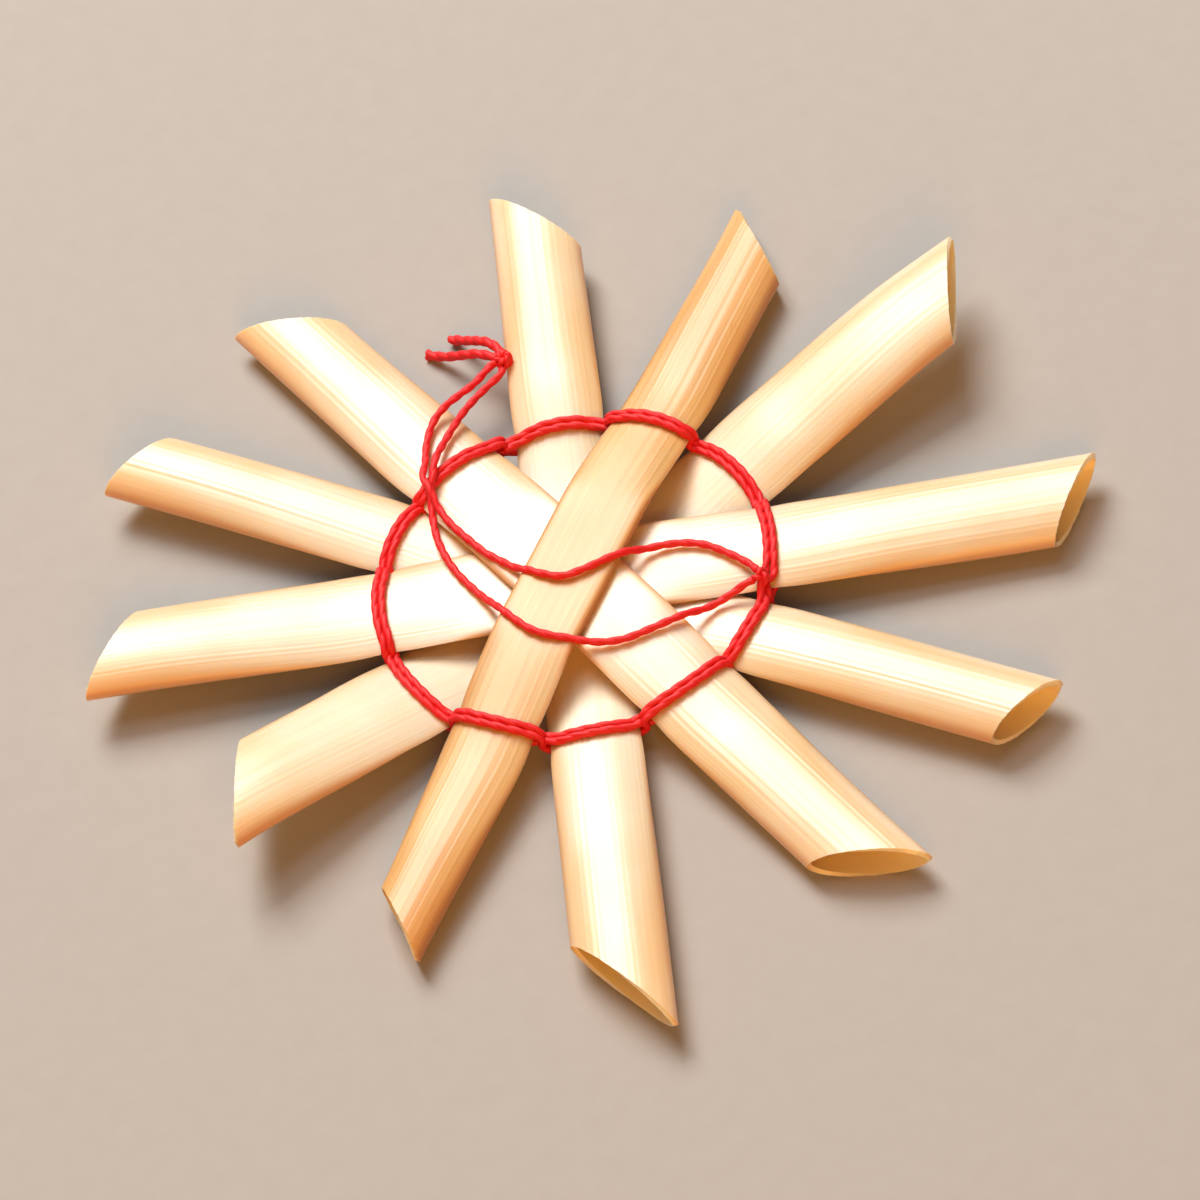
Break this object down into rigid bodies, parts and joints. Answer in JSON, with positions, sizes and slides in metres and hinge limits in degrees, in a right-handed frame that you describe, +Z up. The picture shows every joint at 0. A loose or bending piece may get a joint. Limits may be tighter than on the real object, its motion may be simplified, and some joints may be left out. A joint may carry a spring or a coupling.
{
  "type": "straw ornament",
  "caption": "Flat star ornament of pressed straws with slanting hollow ends, bound by a woven red thread whose tied ends make the hanging loop.",
  "frame": {"origin": "middle of the flat underside, under the centre of the star, on the surface it lies on", "axes": "+Z up through the stack of straws; +Y towards the loop knot's side of the star, away from the viewer; +X to the right"},
  "size_m": [0.0623, 0.0656, 0.0052],
  "materials": {
    "straw_ivory": "dried straw, pale ivory, satin with fine lengthwise fibres",
    "straw_honey": "dried straw, darker honey brown, satin with fine lengthwise fibres",
    "red_thread": "twisted red cotton, matt"
  },
  "bodies": {
    "root": {"upper_straw_1": "straw_honey", "upper_straw_2": "straw_ivory", "upper_straw_3": "straw_ivory", "lower_straw_1": "straw_ivory", "lower_straw_2": "straw_ivory", "lower_straw_3": "straw_ivory", "binding_thread": "red_thread", "ring_knot": "red_thread", "loop_knot": "red_thread", "loop_strand_1": "red_thread", "loop_strand_2": "red_thread", "cut_end_1": "red_thread", "cut_end_2": "red_thread"}
  },
  "joints": []
}
